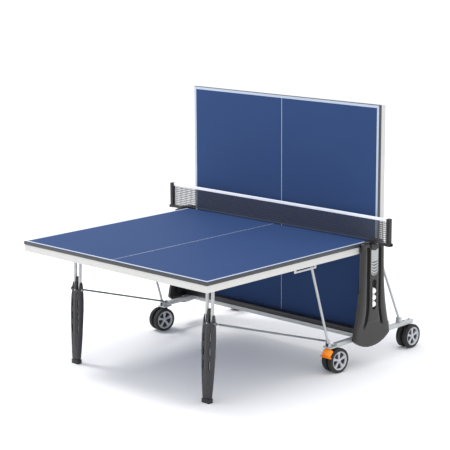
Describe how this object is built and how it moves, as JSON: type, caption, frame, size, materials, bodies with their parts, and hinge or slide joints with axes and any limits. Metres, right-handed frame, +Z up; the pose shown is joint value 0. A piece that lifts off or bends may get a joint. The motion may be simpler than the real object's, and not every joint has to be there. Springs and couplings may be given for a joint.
{
  "type": "ping pong table",
  "caption": "Folding rollaway table-tennis table, one half level on legs, the other upright behind the net, on a wheeled chassis with side towers.",
  "frame": {"origin": "on the floor, at the middle of the bounding box", "axes": "+Z up, +X along the net toward the right tower, +Y from the level half toward the upright half"},
  "size_m": [1.846, 1.917, 1.558],
  "materials": {
    "blue": "satin",
    "band": "satin",
    "white": "satin",
    "steel": "satin",
    "moulded": "matte",
    "tower": "matte",
    "tyre": "matte",
    "orange": "gloss",
    "ball": "matte",
    "net": "open mesh",
    "tape": "woven",
    "dark": "matte",
    "plate": "satin"
  },
  "bodies": {
    "chassis": {"left_side_beam": "steel", "right_side_beam": "steel", "cross_tube": "steel", "cross_cover": "moulded", "left_guide_plate": "plate", "right_guide_plate": "plate", "left_tower_cover": "tower", "right_tower_cover": "tower", "left_net_arm": "moulded", "right_net_arm": "moulded", "left_net_post": "moulded", "right_net_post": "moulded", "net": "net", "net_tape": "tape"},
    "near_carriage": {"near_carriage_shaft": "steel"},
    "near_half": {"near_board": "blue", "near_edge_band": "band", "near_apron_frame": "white"},
    "near_left_leg": {"near_left_leg_frame": "steel", "near_left_leg_shell": "moulded"},
    "near_left_foot": {"near_left_foot": "dark"},
    "near_left_strut": {"near_left_strut": "steel"},
    "near_left_link_rod": {"near_left_link_rod": "steel"},
    "near_right_leg": {"near_right_leg_frame": "steel", "near_right_leg_shell": "moulded"},
    "near_right_foot": {"near_right_foot": "dark"},
    "near_right_strut": {"near_right_strut": "steel"},
    "near_right_link_rod": {"near_right_link_rod": "steel"},
    "far_carriage": {"far_carriage_shaft": "steel"},
    "far_half": {"far_board": "blue", "far_edge_band": "band", "far_apron_frame": "white"},
    "far_left_leg": {"far_left_leg_frame": "steel", "far_left_leg_shell": "moulded"},
    "far_left_foot": {"far_left_foot": "dark"},
    "far_left_strut": {"far_left_strut": "steel"},
    "far_left_link_rod": {"far_left_link_rod": "steel"},
    "far_right_leg": {"far_right_leg_frame": "steel", "far_right_leg_shell": "moulded"},
    "far_right_foot": {"far_right_foot": "dark"},
    "far_right_strut": {"far_right_strut": "steel"},
    "far_right_link_rod": {"far_right_link_rod": "steel"},
    "near_right_caster": {"near_right_caster_fork": "dark"},
    "near_right_caster_wheel_left": {"near_right_caster_wheel_left": "tyre"},
    "near_right_caster_wheel_right": {"near_right_caster_wheel_right": "tyre"},
    "near_right_caster_brake": {"near_right_caster_brake_pedal": "orange"},
    "near_left_caster": {"near_left_caster_fork": "dark"},
    "near_left_caster_wheel_left": {"near_left_caster_wheel_left": "tyre"},
    "near_left_caster_wheel_right": {"near_left_caster_wheel_right": "tyre"},
    "far_right_caster": {"far_right_caster_fork": "dark"},
    "far_right_caster_wheel_left": {"far_right_caster_wheel_left": "tyre"},
    "far_right_caster_wheel_right": {"far_right_caster_wheel_right": "tyre"},
    "far_left_caster": {"far_left_caster_fork": "dark"},
    "far_left_caster_wheel_left": {"far_left_caster_wheel_left": "tyre"},
    "far_left_caster_wheel_right": {"far_left_caster_wheel_right": "tyre"},
    "far_left_caster_brake": {"far_left_caster_brake_pedal": "orange"},
    "ball_1": {"ball_1": "ball"},
    "ball_2": {"ball_2": "ball"},
    "ball_3": {"ball_3": "ball"}
  },
  "joints": [
    {"name": "near_carriage_slide", "type": "slide", "parent": "chassis", "child": "near_carriage", "axis": [0, -0.1842, -0.9829], "range_m": [0, 0.51583]},
    {"name": "near_fold", "type": "hinge", "parent": "near_carriage", "child": "near_half", "pos_m": [0, 0.3915, 0.715], "axis": [-1, 0, 0], "range_deg": [0, 90]},
    {"name": "near_left_leg_fold", "type": "hinge", "parent": "near_half", "child": "near_left_leg", "pos_m": [-0.553, -0.7185, 0.695], "axis": [-1, 0, 0], "range_deg": [-92.61, 0]},
    {"name": "near_left_foot_screw", "type": "slide", "parent": "near_left_leg", "child": "near_left_foot", "axis": [0, -0.0507, -0.9987], "range_m": [0, 0.008]},
    {"name": "near_left_strut_pivot", "type": "hinge", "parent": "chassis", "child": "near_left_strut", "pos_m": [-0.701, 0.1135, 0.178], "axis": [-1, 0, 0], "range_deg": [0, 33.88]},
    {"name": "near_left_rod_pivot", "type": "hinge", "parent": "chassis", "child": "near_left_link_rod", "pos_m": [-0.68, 0.1285, 0.191], "axis": [-1, 0, 0], "range_deg": [0, 82.29]},
    {"name": "near_right_leg_fold", "type": "hinge", "parent": "near_half", "child": "near_right_leg", "pos_m": [0.553, -0.7185, 0.695], "axis": [-1, 0, 0], "range_deg": [-92.61, 0]},
    {"name": "near_right_foot_screw", "type": "slide", "parent": "near_right_leg", "child": "near_right_foot", "axis": [0, -0.0507, -0.9987], "range_m": [0, 0.008]},
    {"name": "near_right_strut_pivot", "type": "hinge", "parent": "chassis", "child": "near_right_strut", "pos_m": [0.701, 0.1135, 0.178], "axis": [-1, 0, 0], "range_deg": [0, 33.88]},
    {"name": "near_right_rod_pivot", "type": "hinge", "parent": "chassis", "child": "near_right_link_rod", "pos_m": [0.68, 0.1285, 0.191], "axis": [-1, 0, 0], "range_deg": [0, 82.29]},
    {"name": "far_carriage_slide", "type": "slide", "parent": "chassis", "child": "far_carriage", "axis": [0, 0.1842, -0.9829], "range_m": [-0.51583, 0]},
    {"name": "far_fold", "type": "hinge", "parent": "far_carriage", "child": "far_half", "pos_m": [0, 0.5305, 0.208], "axis": [1, 0, 0], "range_deg": [-90, 0]},
    {"name": "far_left_leg_fold", "type": "hinge", "parent": "far_half", "child": "far_left_leg", "pos_m": [-0.553, 0.5505, 1.318], "axis": [1, 0, 0], "range_deg": [0, 92.61]},
    {"name": "far_left_foot_screw", "type": "slide", "parent": "far_left_leg", "child": "far_left_foot", "axis": [0, 0.0052, -1], "range_m": [0, 0.008]},
    {"name": "far_left_strut_pivot", "type": "hinge", "parent": "chassis", "child": "far_left_strut", "pos_m": [-0.701, 0.7915, 0.198], "axis": [1, 0, 0], "range_deg": [-49.15, 0]},
    {"name": "far_left_rod_pivot", "type": "hinge", "parent": "chassis", "child": "far_left_link_rod", "pos_m": [-0.68, 0.6985, 0.191], "axis": [1, 0, 0], "range_deg": [-82.29, 0]},
    {"name": "far_right_leg_fold", "type": "hinge", "parent": "far_half", "child": "far_right_leg", "pos_m": [0.553, 0.5505, 1.318], "axis": [1, 0, 0], "range_deg": [0, 92.61]},
    {"name": "far_right_foot_screw", "type": "slide", "parent": "far_right_leg", "child": "far_right_foot", "axis": [0, 0.0052, -1], "range_m": [0, 0.008]},
    {"name": "far_right_strut_pivot", "type": "hinge", "parent": "chassis", "child": "far_right_strut", "pos_m": [0.701, 0.7915, 0.198], "axis": [1, 0, 0], "range_deg": [-49.15, 0]},
    {"name": "far_right_rod_pivot", "type": "hinge", "parent": "chassis", "child": "far_right_link_rod", "pos_m": [0.68, 0.6985, 0.191], "axis": [1, 0, 0], "range_deg": [-82.29, 0]},
    {"name": "near_right_caster_swivel", "type": "hinge", "parent": "chassis", "child": "near_right_caster", "pos_m": [0.704, 0.1405, 0.156], "axis": [0, 0, 1], "continuous": true},
    {"name": "near_right_caster_wheel_left_spin", "type": "hinge", "parent": "near_right_caster", "child": "near_right_caster_wheel_left", "pos_m": [0.70661, 0.17039, 0.075], "axis": [0.9962, -0.0872, 0], "continuous": true},
    {"name": "near_right_caster_wheel_right_spin", "type": "hinge", "parent": "near_right_caster", "child": "near_right_caster_wheel_right", "pos_m": [0.70661, 0.17039, 0.075], "axis": [0.9962, -0.0872, 0], "continuous": true},
    {"name": "near_right_caster_brake_press", "type": "hinge", "parent": "near_right_caster", "child": "near_right_caster_brake", "pos_m": [0.70661, 0.17039, 0.075], "axis": [0.9962, -0.0872, 0], "range_deg": [0, 10]},
    {"name": "near_left_caster_swivel", "type": "hinge", "parent": "chassis", "child": "near_left_caster", "pos_m": [-0.704, 0.1405, 0.156], "axis": [0, 0, 1], "continuous": true},
    {"name": "near_left_caster_wheel_left_spin", "type": "hinge", "parent": "near_left_caster", "child": "near_left_caster_wheel_left", "pos_m": [-0.70869, 0.11087, 0.075], "axis": [-0.9877, 0.1564, 0], "continuous": true},
    {"name": "near_left_caster_wheel_right_spin", "type": "hinge", "parent": "near_left_caster", "child": "near_left_caster_wheel_right", "pos_m": [-0.70869, 0.11087, 0.075], "axis": [-0.9877, 0.1564, 0], "continuous": true},
    {"name": "far_right_caster_swivel", "type": "hinge", "parent": "chassis", "child": "far_right_caster", "pos_m": [0.704, 0.8535, 0.156], "axis": [0, 0, 1], "continuous": true},
    {"name": "far_right_caster_wheel_left_spin", "type": "hinge", "parent": "far_right_caster", "child": "far_right_caster_wheel_left", "pos_m": [0.704, 0.8835, 0.075], "axis": [1, 0, 0], "continuous": true},
    {"name": "far_right_caster_wheel_right_spin", "type": "hinge", "parent": "far_right_caster", "child": "far_right_caster_wheel_right", "pos_m": [0.704, 0.8835, 0.075], "axis": [1, 0, 0], "continuous": true},
    {"name": "far_left_caster_swivel", "type": "hinge", "parent": "chassis", "child": "far_left_caster", "pos_m": [-0.704, 0.8535, 0.156], "axis": [0, 0, 1], "continuous": true},
    {"name": "far_left_caster_wheel_left_spin", "type": "hinge", "parent": "far_left_caster", "child": "far_left_caster_wheel_left", "pos_m": [-0.704, 0.8235, 0.075], "axis": [-1, 0, 0], "continuous": true},
    {"name": "far_left_caster_wheel_right_spin", "type": "hinge", "parent": "far_left_caster", "child": "far_left_caster_wheel_right", "pos_m": [-0.704, 0.8235, 0.075], "axis": [-1, 0, 0], "continuous": true},
    {"name": "far_left_caster_brake_press", "type": "hinge", "parent": "far_left_caster", "child": "far_left_caster_brake", "pos_m": [-0.704, 0.8235, 0.075], "axis": [-1, 0, 0], "range_deg": [0, 10]},
    {"name": "ball_1_lift", "type": "slide", "parent": "chassis", "child": "ball_1", "axis": [0, 0, 1], "range_m": [0, 0.052]},
    {"name": "ball_2_lift", "type": "slide", "parent": "chassis", "child": "ball_2", "axis": [0, 0, 1], "range_m": [0, 0.052]},
    {"name": "ball_3_lift", "type": "slide", "parent": "chassis", "child": "ball_3", "axis": [0, 0, 1], "range_m": [0, 0.052]}
  ],
  "couplings": [
    {"joint": "near_carriage_slide", "follows": "near_fold", "m_per_rad": 0.32838},
    {"joint": "near_left_leg_fold", "follows": "near_fold", "ratio": -1.0289},
    {"joint": "near_left_strut_pivot", "follows": "near_fold", "ratio": 0.37638},
    {"joint": "near_left_rod_pivot", "follows": "near_fold", "ratio": 0.91433},
    {"joint": "near_right_leg_fold", "follows": "near_fold", "ratio": -1.0289},
    {"joint": "near_right_strut_pivot", "follows": "near_fold", "ratio": 0.37638},
    {"joint": "near_right_rod_pivot", "follows": "near_fold", "ratio": 0.91433},
    {"joint": "far_carriage_slide", "follows": "far_fold", "m_per_rad": 0.32838},
    {"joint": "far_left_leg_fold", "follows": "far_fold", "ratio": -1.0289},
    {"joint": "far_left_strut_pivot", "follows": "far_fold", "ratio": 0.54607},
    {"joint": "far_left_rod_pivot", "follows": "far_fold", "ratio": 0.91433},
    {"joint": "far_right_leg_fold", "follows": "far_fold", "ratio": -1.0289},
    {"joint": "far_right_strut_pivot", "follows": "far_fold", "ratio": 0.54607},
    {"joint": "far_right_rod_pivot", "follows": "far_fold", "ratio": 0.91433},
    {"joint": "ball_2_lift", "follows": "ball_1_lift", "ratio": 1},
    {"joint": "ball_3_lift", "follows": "ball_1_lift", "ratio": 1}
  ]
}
